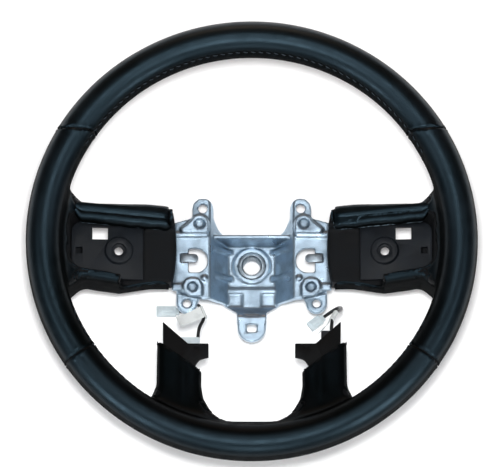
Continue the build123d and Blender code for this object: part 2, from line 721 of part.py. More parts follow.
def lower_plate():
    """Right-hand plastic plate, rooted in the lower spoke's foam."""
    plan = outline(
        (*INLAY_TIP, 0.5),
        (*INLAY_CORNER, 2),
        (INLAY_EDGE, INLAY_CORNER[1], 1),
        (INLAY_EDGE, INLAY_HEEL, 0.5),
        (INLAY_EDGE + 8, INLAY_HEEL - 2, 8),
        (LOWER_INNER + 6.5, INLAY_HEEL - 10, 4),
        (LOWER_INNER + 8, INLAY_ROOT, 2),
        (LOWER_OUTER - 7, INLAY_ROOT, 2),
        (INLAY_TIP[0] - 0.7, INLAY_HEEL, 3),
    )
    slot = Pos(*INLAY_SLOT) * Rectangle(INLAY_SLOT_WIDTH, INLAY_SLOT_HEIGHT)
    top = INLAY_WALL / 2
    plate = upright(plan) & inlay_band(-top, top)
    return plate - (upright(slot) & inlay_band(top - INLAY_SLOT_DEPTH, 3 * top))


def latch_clip():
    """Spring tongue seated beside the right-hand latch window, its round tip bent down into it."""
    y = clip_seat().center().Y
    tip = LATCH_OUTER - CLIP_REACH
    half = CLIP_WIDTH / 2 - CARRIER_CLEARANCE
    profile = outline(
        (LATCH_OUTER + CLIP_ROOT - CARRIER_CLEARANCE, PLATE_Z, 0),
        (LATCH_OUTER - 1, PLATE_Z, 3),
        (tip, PLATE_Z - CLIP_DROP, 0),
        (tip, PLATE_Z - CLIP_DROP - CLIP_WALL, 0),
        (LATCH_OUTER - 1, PLATE_Z - CLIP_WALL, 3),
        (LATCH_OUTER + CLIP_ROOT - CARRIER_CLEARANCE, PLATE_Z - CLIP_WALL, 0),
    )
    plan = Pos(tip + half, y) * Circle(half) + outline(
        (tip + half, y - half, 0),
        (LATCH_OUTER + CLIP_ROOT, y - half, 0),
        (LATCH_OUTER + CLIP_ROOT, y + half, 0),
        (tip + half, y + half, 0),
    )
    return along_y(profile) & upright(plan)


# Heater leads


def lead_tube(route):
    """Round lead along a route, each bend as wide as its two runs allow."""
    points = [Vector(*point) for point in route]
    runs = [after - before for before, after in zip(points, points[1:])]
    radii = []
    for before, after in zip(runs, runs[1:]):
        turn = radians(before.get_angle(after))
        radii.append(0.45 * min(before.length, after.length) / tan(turn / 2))
    print("lead bend radii", [round(radius, 1) for radius in radii])
    path = FilletPolyline(*points, radius=radii)
    tube = sweep(Plane(origin=points[0], z_dir=runs[0]) * Circle(LEAD_DIAMETER / 2), path)
    print("lead length", round(path.length, 1), "volume share",
          round(tube.volume / (path.length * pi * LEAD_DIAMETER**2 / 4), 4))
    return tube


def lead_socket(span, route):
    """Socket on the back of a lower plate; the lead leaves its upper end."""
    top = route[0][1]
    plan = outline((span[0], top, 1), (span[1], top, 1), (span[1], top - SOCKET_LENGTH, 1),
                   (span[0], top - SOCKET_LENGTH, 1))
    return upright(plan) & inlay_band(-INLAY_WALL / 2 - SOCKET_HEIGHT, -INLAY_WALL / 2)


def lead_connector(route, length):
    """Plug housing on the floor at the lead's end, with a collar, a latch and two pin slots."""
    end = Vector(*route[-1])
    way = end - Vector(*route[-2])
    place = Plane(origin=end, x_dir=way, z_dir=(0, 0, 1))
    collar = CONNECTOR_COLLAR
    latch = CONNECTOR_LATCH
    height = CONNECTOR_HEIGHT - latch
    body = Pos(collar + length / 2, 0, -latch / 2) * Box(length, CONNECTOR_WIDTH, height)
    body += Pos(collar / 2, 0, -latch / 2) * Box(collar, 0.7 * CONNECTOR_WIDTH, 0.75 * height)
    tab = Box(0.6 * length, 0.4 * CONNECTOR_WIDTH, 2 * latch)
    body += Pos(collar + 0.45 * length, 0, CONNECTOR_HEIGHT / 2 - latch) * tab
    for side in (-1, 1):
        body -= Pos(collar + length, side * PIN_SLOT, -latch / 2) * Box(length, PIN_SLOT, PIN_SLOT)
    return place * body


def tape_flag(tube, route, run, way):
    """White tape folded round one run of a lead, standing off it as a flag."""
    start, end = Vector(*route[run]), Vector(*route[run + 1])
    along = (end - start).normalized()
    climb = -(way[0] * along.X + way[1] * along.Y) / along.Z
    off = Vector(*way, climb).normalized()
    place = Plane(origin=(start + end) / 2, x_dir=off, z_dir=off.cross(along))
    sheet = Pos(FLAG_LENGTH / 2, 0, 0) * Box(FLAG_LENGTH, FLAG_WIDTH, FLAG_WALL)
    sleeve = Rot(90, 0, 0) * Cylinder(FLAG_SLEEVE_RADIUS, FLAG_WIDTH)
    return place * (sheet + sleeve) - tube


def main():
    frame = armature()
    right_leather = leather_right()
    carrier = switch_carrier()
    inlay = lower_plate()
    clip = latch_clip()
    left_lead = lead_tube(LEFT_LEAD)
    right_lead = lead_tube(RIGHT_LEAD)
    nodes = {
        "armature": frame,
        "hub_insert": hub_insert(),
        "rim_foam": rim_foam(frame),
        "leather_top": leather_top(),
        "leather_right": right_leather,
        "leather_left": left_of(right_leather),
        "leather_bottom": leather_bottom(),
        "switch_carrier_right": carrier,
        "switch_carrier_left": left_of(carrier),
        "lower_plate_right": inlay,
        "lower_plate_left": left_of(inlay),
        "latch_clip_right": clip,
        "latch_clip_left": left_of(clip),
        "heater_lead_left": left_lead,
        "heater_lead_right": right_lead,
        "lead_socket_left": lead_socket(LEFT_SOCKET, LEFT_LEAD),
        "lead_socket_right": lead_socket(RIGHT_SOCKET, RIGHT_LEAD),
        "lead_connector_left": lead_connector(LEFT_LEAD, LEFT_CONNECTOR_LENGTH),
        "lead_connector_right": lead_connector(RIGHT_LEAD, RIGHT_CONNECTOR_LENGTH),
        "tape_flag_left": tape_flag(left_lead, LEFT_LEAD, LEFT_FLAG_RUN, LEFT_FLAG_WAY),
        "tape_flag_right": tape_flag(right_lead, RIGHT_LEAD, RIGHT_FLAG_RUN, RIGHT_FLAG_WAY),
    }
    os.makedirs("parts", exist_ok=True)
    for name, solid in nodes.items():
        export_step(solid, f"parts/{name}.step")
        print(name, round(solid.volume), len(solid.solids()), solid.is_valid)


main()
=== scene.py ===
"""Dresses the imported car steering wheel: leather, thread, blasted casting, plastics, tape and leads."""

import json
import logging
import math
from dataclasses import dataclass, field
from enum import Enum
from typing import Any, ClassVar, Dict, Iterable, List, Optional, Sequence, Tuple

import bmesh
import bpy
from mathutils import Matrix, Vector, noise
from mathutils.bvhtree import BVHTree

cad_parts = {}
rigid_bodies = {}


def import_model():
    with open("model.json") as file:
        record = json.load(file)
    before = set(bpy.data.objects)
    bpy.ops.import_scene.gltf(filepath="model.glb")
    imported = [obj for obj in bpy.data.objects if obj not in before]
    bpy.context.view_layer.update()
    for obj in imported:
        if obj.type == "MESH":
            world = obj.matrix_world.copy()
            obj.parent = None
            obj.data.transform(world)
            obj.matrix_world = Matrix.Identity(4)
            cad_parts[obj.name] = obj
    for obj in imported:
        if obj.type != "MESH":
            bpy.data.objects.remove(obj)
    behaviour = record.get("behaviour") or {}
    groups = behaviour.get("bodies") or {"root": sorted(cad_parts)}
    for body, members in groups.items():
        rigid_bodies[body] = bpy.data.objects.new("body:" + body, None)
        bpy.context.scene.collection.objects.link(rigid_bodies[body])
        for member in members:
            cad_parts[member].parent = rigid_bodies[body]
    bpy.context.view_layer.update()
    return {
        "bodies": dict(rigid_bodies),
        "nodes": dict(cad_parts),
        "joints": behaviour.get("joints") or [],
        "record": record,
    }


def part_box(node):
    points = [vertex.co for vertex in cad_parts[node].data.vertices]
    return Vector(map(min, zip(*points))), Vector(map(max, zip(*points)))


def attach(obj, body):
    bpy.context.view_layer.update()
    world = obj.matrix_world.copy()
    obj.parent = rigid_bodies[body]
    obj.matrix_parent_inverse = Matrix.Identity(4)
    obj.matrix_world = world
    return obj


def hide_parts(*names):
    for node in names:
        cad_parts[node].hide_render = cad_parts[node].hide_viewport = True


LOG = logging.getLogger("steering_wheel")
MM = 0.001
BODY = "root"
MERGE_GAP = 0.002 * MM          # corners nearer than this are one corner
FLAT_ANGLE = math.radians(3)    # faces that meet flatter than this are one face
EDGE_ANGLE = math.radians(40)   # edges sharper than this are broken
PLATE_EDGE = 0.4 * MM           # broken edge of the moulded plates
NOISE_SEED = 7                  # so that loose leather strays the same way in each run
WAVE_PHASE = 20 / (2 * math.pi)     # waves that a wave texture of scale 1 has in a metre

Point = Tuple[float, float, float]
Ramp = Tuple[float, float, float]   # the values where a share starts and is full, and the full share
Colour = Tuple[float, float, float, float]
Piece = bpy.types.Object
Nodes = Dict[str, bpy.types.Object]
Material = bpy.types.Material
Tree = bpy.types.NodeTree
Socket = bpy.types.NodeSocket
Mesh = bmesh.types.BMesh
Corner = bmesh.types.BMVert
Links = Dict[bmesh.types.BMVert, List[bmesh.types.BMVert]]


class Side(Enum):
    """Which half of the wheel a piece belongs to; the value is the sign of its X."""

    LEFT = -1
    RIGHT = 1

    @property
    def word(self) -> str:
        """The side as it stands in node names."""
        return self.name.lower()


# Small tools


def linear(code: str) -> Colour:
    """Turns an sRGB hex value into linear colour.

    Args:
        code: six hex digits, with or without a leading hash.

    Returns:
        Red, green, blue and alpha for a shader socket.
    """
    digits = code.lstrip("#")
    channels = [int(digits[place:place + 2], 16) / 255 for place in (0, 2, 4)]
    red, green, blue = [c / 12.92 if c <= 0.04045 else ((c + 0.055) / 1.055) ** 2.4 for c in channels]
    return red, green, blue, 1.0


def per_metre(size_mm: float) -> float:
    """Texture scale on coordinates in metres for a pattern of that size in millimetres."""
    return 1000.0 / size_mm


def new_object(name: str, data: bpy.types.ID) -> Piece:
    """Puts new data into the scene as an object.

    Args:
        name: the object's name.
        data: its mesh, curve, light or camera.

    Returns:
        The object.
    """
    made = bpy.data.objects.new(name, data)
    bpy.context.scene.collection.objects.link(made)
    return made


def primitive(name: str, operator: Any, **settings: Any) -> Piece:
    """Adds one of Blender's basic meshes.

    Args:
        name: the new object's name.
        operator: the one of bpy.ops.mesh that makes it.
        settings: the operator's settings.

    Returns:
        The object.
    """
    operator(**settings)
    made = bpy.context.object
    made.name = name
    return made


def activate(piece: Piece, *others: Piece) -> None:
    """Selects objects and makes the first one active.

    Args:
        piece: the object to make active.
        others: more objects to select.
    """
    bpy.ops.object.select_all(action="DESELECT")
    for chosen in (piece, *others):
        chosen.select_set(True)
    bpy.context.view_layer.objects.active = piece


def modify(piece: Piece, kind: str, **settings: Any) -> None:
    """Adds a modifier with its settings and applies it.

    Args:
        piece: the mesh object to change.
        kind: the modifier's type.
        settings: attributes of the modifier.
    """
    modifier = piece.modifiers.new(kind.title(), kind)
    for name, value in settings.items():
        setattr(modifier, name, value)
    activate(piece)
    bpy.ops.object.modifier_apply(modifier=modifier.name)


def edit(piece: Piece, operator: Any, **settings: Any) -> None:
    """Runs one mesh operator on the whole of a piece.

    Args:
        piece: the mesh object to change.
        operator: one of bpy.ops.mesh.
        settings: the operator's settings.
    """
    activate(piece)
    bpy.ops.object.mode_set(mode="EDIT")
    bpy.ops.mesh.select_all(action="SELECT")
    operator(**settings)
    bpy.ops.object.mode_set(mode="OBJECT")


def joined_copy(nodes: Sequence[Piece], name: str) -> Piece:
    """Copies CAD meshes into one new object and merges their loose corners.

    Args:
        nodes: the objects to copy.
        name: the new object's name.

    Returns:
        The new object.
    """
    copies = [new_object(name, node.data.copy()) for node in nodes]
    activate(*copies)
    if len(copies) > 1:
        bpy.ops.object.join()
    form = copies[0]
    form.data.materials.clear()
    edit(form, bpy.ops.mesh.remove_doubles, threshold=MERGE_GAP)
    return form


def softened(node: Piece, name: str, voxel: float, rounds: int, kept: float) -> Piece:
    """Copies a cast or foamed CAD piece with the soft edges that its mould gives.

    Args:
        node: the CAD node to copy.
        name: the new object's name.
        voxel: grain of the remeshed form.
        rounds: how often it is smoothed.
        kept: share of its faces that stay.

    Returns:
        The new object.
    """
    form = joined_copy([node], name)
    modify(form, "REMESH", mode="VOXEL", voxel_size=voxel)
    modify(form, "SMOOTH", factor=0.5, iterations=rounds)
    modify(form, "DECIMATE", ratio=kept)
    return form


def settle(piece: Piece, material: Material, replaced: Sequence[str] = (),
           angle: float = 35.0) -> Piece:
    """Finishes a new piece: its material, its shading, its body and what it stands for.

    Args:
        piece: the finished object.
        material: what it is made of.
        replaced: CAD nodes that it stands for.
        angle: edges flatter than this are shaded smooth, in degrees.

    Returns:
        The same object.
    """
    activate(piece)
    bpy.ops.object.transform_apply(location=True, rotation=True, scale=True)
    piece.data.materials.clear()
    piece.data.materials.append(material)
    bpy.ops.object.shade_smooth_by_angle(angle=math.radians(angle))
    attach(piece, BODY)
    if replaced:
        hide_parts(*replaced)
    LOG.info("%s: %d faces", piece.name, len(piece.data.polygons))
    return piece


def moulding(node: Piece, material: Material, edge: float) -> Piece:
    """Copies a rigid CAD piece and breaks its sharp edges.

    Args:
        node: the CAD node that the copy stands for.
        material: what it is made of.
        edge: width of the broken edges.

    Returns:
        The new piece.
    """
    piece = joined_copy([node], node.name + "_moulding")
    edit(piece, bpy.ops.mesh.dissolve_limited, angle_limit=FLAT_ANGLE)
    modify(piece, "BEVEL", width=edge, segments=2, limit_method="ANGLE", angle_limit=EDGE_ANGLE)
    return settle(piece, material, [node.name])


# Finishes


class Brush:
    """Adds a pattern's nodes to a material or the world and leads them to its shader.

    In the names that even and lead take, _ stands for a space.
    """

    def __init__(self, tree: Tree, shader: str = "Principled BSDF", place: str = "Object") -> None:
        """Takes up a node tree.

        Args:
            tree: the node tree.
            shader: the node that the patterns lead to.
            place: the coordinates that they hang on; Object ones are in metres.
        """
        self.tree = tree
        self.shader = tree.nodes[shader]
        self.place = self.node("TexCoord").outputs[place]

    def node(self, kind: str, settings: Optional[Dict[str, Any]] = None,
             inputs: Optional[Dict[Any, Any]] = None) -> bpy.types.Node:
        """Adds a shader node with its settings, values and links.

        Args:
            kind: the node's type without the ShaderNode prefix.
            settings: attributes of the node.
            inputs: socket name or index to a value, or to another node's output socket.

        Returns:
            The new node.
        """
        node = self.tree.nodes.new("ShaderNode" + kind)
        for name, value in (settings or {}).items():
            setattr(node, name, value)
        for key, value in (inputs or {}).items():
            if isinstance(value, bpy.types.NodeSocket):
                self.tree.links.new(value, node.inputs[key])
            else:
                node.inputs[key].default_value = value
        return node

    def combine(self, operation: str, first: Any, second: Any) -> Socket:
        """Works out one value from two."""
        return self.node("Math", {"operation": operation}, {0: first, 1: second}).outputs[0]

    def axes(self, vector: Socket) -> bpy.types.NodeOutputs:
        """A vector's X, Y and Z."""
        return self.node("SeparateXYZ", {}, {"Vector": vector}).outputs

    def even(self, **values: Any) -> None:
        """Sets even values on the shader's sockets."""
        for name, value in values.items():
            self.shader.inputs[name.replace("_", " ")].default_value = value

    def lead(self, **outputs: Socket) -> None:
        """Leads outputs to the shader's sockets."""
        for name, output in outputs.items():
            self.tree.links.new(output, self.shader.inputs[name.replace("_", " ")])

    def grain(self, size_mm: float, detail: float = 3.0, place: Optional[Socket] = None) -> Socket:
        """Noise of a given grain size, from 0 to 1."""
        inputs = {"Vector": place or self.place, "Scale": per_metre(size_mm), "Detail": detail}
        return self.node("TexNoise", {}, inputs).outputs["Fac"]

    def wave(self, size_mm: float, distortion: float = 0.0, **settings: str) -> Socket:
        """Waves of a given size."""
        inputs = {"Vector": self.place, "Scale": per_metre(WAVE_PHASE * size_mm), "Distortion": distortion}
        return self.node("TexWave", settings, inputs).outputs["Fac"]

    def spread(self, value: Socket, low: float, high: float, start: float = 0.0, end: float = 1.0) -> Socket:
        """Maps low..high of a value onto start..end and stops at both."""
        inputs = {"Value": value, "From Min": low, "From Max": high, "To Min": start, "To Max": end}
        return self.node("MapRange", {"clamp": True}, inputs).outputs["Result"]

    def tint(self, share: Socket, first: Any, second: Any) -> Socket:
        """Mixes two colours.

        Args:
            share: 0 for the first colour, 1 for the second.
            first: a hex value or a socket.
            second: the same.

        Returns:
            The mixed colour.
        """
        ends = [linear(end) if isinstance(end, str) else end for end in (first, second)]
        inputs = {"Factor": share, "A": ends[0], "B": ends[1]}
        return self.node("Mix", {"data_type": "RGBA"}, inputs).outputs["Result"]

    def bump(self, height: Socket, depth_mm: float, strength: float, **below: Socket) -> Socket:
        """Turns a height into a normal, over another bump's Normal if one is given."""
        inputs = {"Height": height, "Distance": depth_mm * MM, "Strength": strength, **below}
        return self.node("Bump", {}, inputs).outputs["Normal"]


@dataclass(frozen=True)
class Finish:
    """A material with even values and a mottle of a second colour; each kind paints the rest on top."""

    name: str
    colour: str
    roughness: float
    metallic: float = 0.0
    ior: float = 1.5
    specular: float = 0.5
    second: str = "#000000"
    mottle_mm: float = 10.0
    mottle_detail: float = 3.0
    mottle: Ramp = (0.4, 0.7, 1.0)  # how the noise lets the second colour in

    def build(self) -> Material:
        """Makes the material.

        Returns:
            The material with its node tree.
        """
        material = bpy.data.materials.new(self.name)
        material.use_nodes = True
        brush = Brush(material.node_tree)
        brush.even(Base_Color=linear(self.colour), Roughness=self.roughness, Metallic=self.metallic,
                   IOR=self.ior, Specular_IOR_Level=self.specular)
        brush.lead(Base_Color=self.body(brush))
        self.paint(brush)
        return material

    def speckle(self, brush: Brush) -> Socket:
        """The noise behind the mottle."""
        return brush.grain(self.mottle_mm, self.mottle_detail)

    def body(self, brush: Brush) -> Socket:
        """The mottled colour."""
        low, high, share = self.mottle
        return brush.tint(brush.spread(self.speckle(brush), low, high, 0.0, share), self.colour, self.second)

    def paint(self, brush: Brush) -> None:
        """Adds what the kind of material has besides its colour; a plain finish has nothing."""

    def uneven(self, brush: Brush, value: Socket, below: float, above: float) -> Socket:
        """Roughness that wanders with a noise, by so much below and above the finish's own."""
        return brush.spread(value, 0.3, 0.7, self.roughness - below, self.roughness + above)


@dataclass(frozen=True)
class SmoothLeather(Finish):
    """Dyed and sealed cowhide: a fine pebble grain, a cool sheen where hands polish it, dull flanks."""

    second: str = "#050607"
    mottle_mm: float = 45.0
    mottle_detail: float = 2.0
    mottle: Ramp = (0.4, 0.68, 1.0)
    sheen: str = "#9cc4dc"
    dull: float = 0.45              # roughness that the flanks have over the front
    flank_shine: float = 0.06       # what is left of the front's reflection there
    spared_shine: float = 0.15      # share of the reflection where no hand comes
    rubbed_radius: float = 186 * MM     # outside this radius hands rub the rim all round
    spared_radius: float = 174 * MM     # inside this one they spare its lower half
    rubbed_y: float = 10 * MM           # the lower half starts here
    spared_y: float = -80 * MM          # and is spared fully from here down
    pebble_mm: float = 1.1          # real pebbles are about 0.6 mm, drawn coarser so that they show
    wrinkle_mm: float = 9.0

    def paint(self, brush: Brush) -> None:
        """Pebble grain, slow wrinkles and uneven gloss.

        Args:
            brush: the material's brush.
        """
        pebble = brush.node("TexVoronoi", {"feature": "SMOOTH_F1"}, {
            "Vector": brush.place, "Scale": per_metre(self.pebble_mm), "Smoothness": 0.4}).outputs["Distance"]
        wrinkle = brush.grain(self.wrinkle_mm)
        front = brush.axes(brush.node("NewGeometry").outputs["Normal"])["Z"]
        flank = brush.spread(front, 0.1, 0.5, self.dull, 0.0)
        shine = brush.spread(front, 0.4, 0.92, self.flank_shine, self.specular)
        slow = brush.bump(wrinkle, 0.5, 0.18)
        brush.lead(Roughness=brush.combine("ADD", self.uneven(brush, wrinkle, 0.05, 0.07), flank),
                   Specular_IOR_Level=brush.combine("MULTIPLY", shine, self.handled(brush)),
                   Normal=brush.bump(pebble, 0.12, 0.35, Normal=slow))
        brush.even(Specular_Tint=linear(self.sheen))

    def handled(self, brush: Brush) -> Socket:
        """How well hands polish a place: little on the lower spokes and inside the rim's lower half.

        Args:
            brush: the material's brush.

        Returns:
            The share of the gloss, 0 to 1.
        """
        axes = brush.axes(brush.place)
        flat = brush.node("CombineXYZ", {}, {"X": axes["X"], "Y": axes["Y"]}).outputs["Vector"]
        radius = brush.node("VectorMath", {"operation": "LENGTH"}, {0: flat}).outputs["Value"]
        inner = brush.spread(radius, self.rubbed_radius, self.spared_radius)
        lower = brush.spread(axes["Y"], self.rubbed_y, self.spared_y)
        return brush.spread(brush.combine("MULTIPLY", inner, lower), 0.0, 1.0, 1.0, self.spared_shine)


@dataclass(frozen=True)
class BlastedCasting(Finish):
    """Die-cast light metal, bead blasted: even fine grit, painted shade in the corners, with tool scratches.
    """

    second: str = "#bcd0e0"
    mottle_mm: float = 0.7          # real grit is about 0.2 mm, drawn coarser so that it shows
    mottle_detail: float = 4.0
    mottle: Ramp = (0.35, 0.65, 1.0)
    # dark tone of the oxide clouds, also used for the painted shade in the corners
    oxide_and_shade: str = "#3c4e5e"
    cloud_mm: float = 14.0
    painted_shade_mm: float = 7.0          # how far the painted shade reaches out of a corner
    scratch_mm: float = 5.0
    scratch_turn: Point = (0.2, 0.0, 0.35)
    scratch_stretch: Point = (6.0, 0.35, 1.0)

    def paint(self, brush: Brush) -> None:
        """Cloudy oxide, painted shade in the corners and a few bright scratches over the grit.

        Args:
            brush: the material's brush.
        """
        cloud = brush.grain(self.cloud_mm)
        corner = brush.node("AmbientOcclusion", {"samples": 8}, {"Distance": self.painted_shade_mm * MM})
        along = brush.node("Mapping", {}, {
            "Vector": brush.place, "Rotation": self.scratch_turn, "Scale": self.scratch_stretch})
        scratch = brush.grain(self.scratch_mm, 2.0, along.outputs["Vector"])
        clouded = brush.tint(brush.spread(cloud, 0.45, 0.75, 0.0, 0.35), self.body(brush), self.oxide_and_shade)
        # Painted shade: the colour darkens towards the dark tone where ambient occlusion finds a corner.
        painted_corner_shade = brush.tint(brush.spread(corner.outputs["AO"], 0.35, 0.9, 0.75, 0.0), clouded, self.oxide_and_shade)
        brush.lead(Base_Color=brush.tint(brush.spread(scratch, 0.66, 0.74, 0.0, 0.5), painted_corner_shade, self.second),
                   Roughness=self.uneven(brush, cloud, 0.07, 0.08),
                   Normal=brush.bump(self.speckle(brush), 0.15, 0.3))


@dataclass(frozen=True)
class TurnedSteel(Finish):
    """Bright steel, a little oily, with the fine rings that a lathe leaves."""

    second: str = "#6f7c86"
    mottle_mm: float = 6.0
    mottle: Ramp = (0.45, 0.7, 0.6)
    ring_mm: float = 0.8

    def paint(self, brush: Brush) -> None:
        """Rings round the bore."""
        rings = brush.wave(self.ring_mm, 0.5, wave_type="RINGS", rings_direction="Z")
        brush.lead(Normal=brush.bump(rings, 0.05, 0.2))


@dataclass(frozen=True)
class MouldedPlastic(Finish):
    """Injection-moulded plastic with a spark-eroded grain, dusty where the gloss is low."""

    second: str = "#2b3036"
    mottle_mm: float = 16.0
    mottle: Ramp = (0.42, 0.72, 0.8)
    grain_mm: float = 0.9           # real grain is about 0.3 mm, drawn coarser so that it shows

    def paint(self, brush: Brush) -> None:
        """Fine grain, and gloss that the dust takes away."""
        brush.lead(Roughness=self.uneven(brush, self.speckle(brush), 0.06, 0.08),
                   Normal=brush.bump(brush.grain(self.grain_mm), 0.1, 0.25))


@dataclass(frozen=True)
class NaturalNylon(Finish):
    """Undyed nylon of a plug, with faint flow marks: milky, so that light goes a little way in."""

    second: str = "#adb9be"
    mottle_mm: float = 7.0
    mottle: Ramp = (0.35, 0.7, 1.0)
    depth_mm: float = 1.5

    def paint(self, brush: Brush) -> None:
        """Light that scatters inside."""
        brush.even(Subsurface_Weight=0.25, Subsurface_Radius=(1.0, 0.9, 0.8),
                   Subsurface_Scale=self.depth_mm * MM)


@dataclass(frozen=True)
class ClothTape(Finish):
    """White woven tape: crossing threads and a little grime."""

    second: str = "#aeb3b3"
    mottle_mm: float = 8.0
    mottle: Ramp = (0.5, 0.75, 0.7)
    thread_mm: float = 1.5          # real thread spacing is about 0.4 mm, drawn coarser so that it shows

    def paint(self, brush: Brush) -> None:
        """Two crossing rows of threads."""
        rows = [brush.wave(self.thread_mm, bands_direction=way) for way in ("X", "Y")]
        brush.lead(Normal=brush.bump(brush.combine("MULTIPLY", *rows), 0.1, 0.3))


@dataclass(frozen=True)
class SewingThread(Finish):
    """Polyester thread with uneven wax."""

    second: str = "#2d353b"
    mottle_mm: float = 2.5
    mottle: Ramp = (0.35, 0.7, 1.0)


@dataclass(frozen=True)
class TornLeather(Finish):
    """Cut or torn edge of the leather: grey fibres under the dyed face."""

    second: str = "#4d5b64"
    mottle_mm: float = 2.2
    mottle_detail: float = 5.0
    mottle: Ramp = (0.42, 0.62, 1.0)

    def paint(self, brush: Brush) -> None:
        """Fibres that stand up."""
        brush.lead(Normal=brush.bump(self.speckle(brush), 0.4, 0.6))


class Workshop:
    """Every finish of the wheel, each made once."""

    def __init__(self) -> None:
        """Builds the materials."""
        self.leather = SmoothLeather("Nappa_leather_black", "#020303", 0.36, specular=1.0).build()
        self.torn = TornLeather("Nappa_leather_torn_edge", "#1c2125", 0.8, specular=0.2).build()
        self.foam = MouldedPlastic("Polyurethane_foam_skin", "#07080a", 0.6, specular=0.2, second="#0e1114",
                                   grain_mm=1.6).build()
        self.casting = BlastedCasting("Aluminium_casting_blasted", "#a9c0d3", 0.33, metallic=0.9).build()
        self.steel = TurnedSteel("Steel_turned", "#b3c0ca", 0.36, metallic=1.0).build()
        self.carrier = MouldedPlastic("Polyamide_moulded_dark", "#0f1216", 0.5, specular=0.3,
                                      second="#181c21").build()
        self.plate = MouldedPlastic("ABS_moulded_black", "#060708", 0.55, specular=0.2,
                                    second="#0c0e10").build()
        self.socket = MouldedPlastic("Polybutylene_moulded_black", "#101214", 0.4).build()
        self.nylon = NaturalNylon("Nylon_natural", "#c3ced2", 0.38).build()
        self.tape = ClothTape("Cloth_tape_white", "#d2d7d7", 0.75, specular=0.25).build()
        self.wire = MouldedPlastic("PVC_insulation_black", "#101113", 0.35, second="#1b1d20").build()
        self.thread = SewingThread("Polyester_thread_grey", "#22292e", 0.7, specular=0.2).build()


@dataclass
class Assembly:
    """A part of the wheel that is built as one: the CAD nodes by name and the materials it takes."""

    nodes: Nodes
    finish: Workshop


# Grip


@dataclass
class Grip:
    """The rim's form, shared by the leather and the thread. Sizes in metres."""

    rim_radius: float = 195 * MM
    width: float = 31 * MM
    depth: float = 35 * MM
    middle_z: float = 113 * MM
    straight_rate: float = 3.0      # how fast the section's straight part opens with the tilt

    @property
    def mid_radius(self) -> float:
        """Radius of the middle of the grip."""
        return self.rim_radius - self.width / 2

    def on_section(self, turn: float, tilt: float, lift: float = 0.0) -> Vector:
        """A point on the grip's skin.

        Args:
            turn: place round the wheel from three o'clock, in radians.
            tilt: place round the section from its inside towards the front, in radians.
            lift: height over the skin.

        Returns:
            The point in the row frame.
        """
        half = self.width / 2
        straight = (self.depth - self.width) / 2 * min(1, abs(tilt) * self.straight_rate)
        radius = self.mid_radius - (half + lift) * math.cos(tilt)
        up = (half + lift) * math.sin(tilt) + math.copysign(straight, math.sin(tilt))
        return Vector((radius * math.cos(turn), radius * math.sin(turn), self.middle_z + up))


